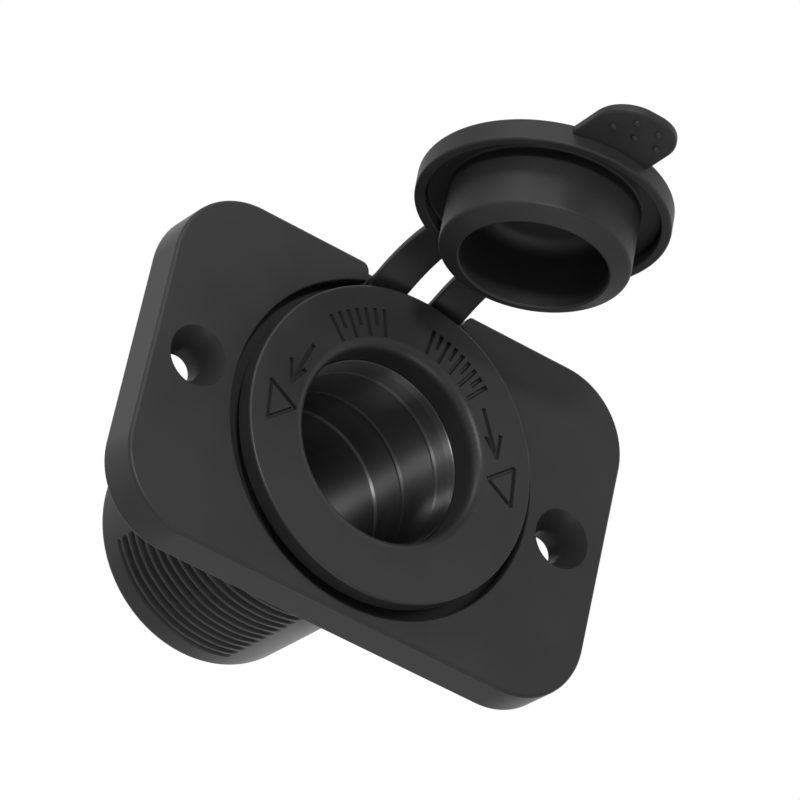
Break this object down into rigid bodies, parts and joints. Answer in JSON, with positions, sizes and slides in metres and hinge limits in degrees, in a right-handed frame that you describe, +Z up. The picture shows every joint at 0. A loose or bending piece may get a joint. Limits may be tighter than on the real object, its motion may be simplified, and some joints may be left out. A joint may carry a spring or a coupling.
{
  "type": "panel-mount vehicle power socket",
  "caption": "Rounded rectangular faceplate holding a threaded round power socket, with a tethered rubber plug cap that swings closed over the mouth.",
  "frame": {"origin": "on the socket axis in the faceplate's back face, midway between the two screw holes", "axes": "+X right seen from the front, +Y along the socket axis into the panel, +Z up towards the strap side"},
  "size_m": [0.0606, 0.0912, 0.0458],
  "materials": {
    "plate_plastic": "satin moulded",
    "socket_plastic": "satin moulded",
    "cap_rubber": "matt",
    "lining_metal": "gloss black plated",
    "blade_metal": "satin",
    "spring_steel": "satin",
    "base_fibre": "matt"
  },
  "bodies": {
    "socket": {"face_plate": "plate_plastic", "socket_body": "socket_plastic", "contact_sleeve": "lining_metal", "base_insulator": "base_fibre", "centre_contact": "blade_metal", "contact_spring": "spring_steel", "centre_rivet": "blade_metal", "sleeve_rivet": "blade_metal", "positive_terminal": "blade_metal", "negative_terminal": "blade_metal", "lock_ring": "socket_plastic", "cap_ring": "cap_rubber", "strap_left": "cap_rubber", "strap_right": "cap_rubber"},
    "cap": {"cap": "cap_rubber"}
  },
  "joints": [
    {"name": "cap_hinge", "type": "hinge", "parent": "socket", "child": "cap", "pos_m": [0, -0.00857, 0.02105], "axis": [1, 0, 0], "range_deg": [-80, 93.2], "stiffness_Nm_per_rad": 0.012, "springref_deg": -2.29, "deforming": ["strap_left", "strap_right"]}
  ]
}
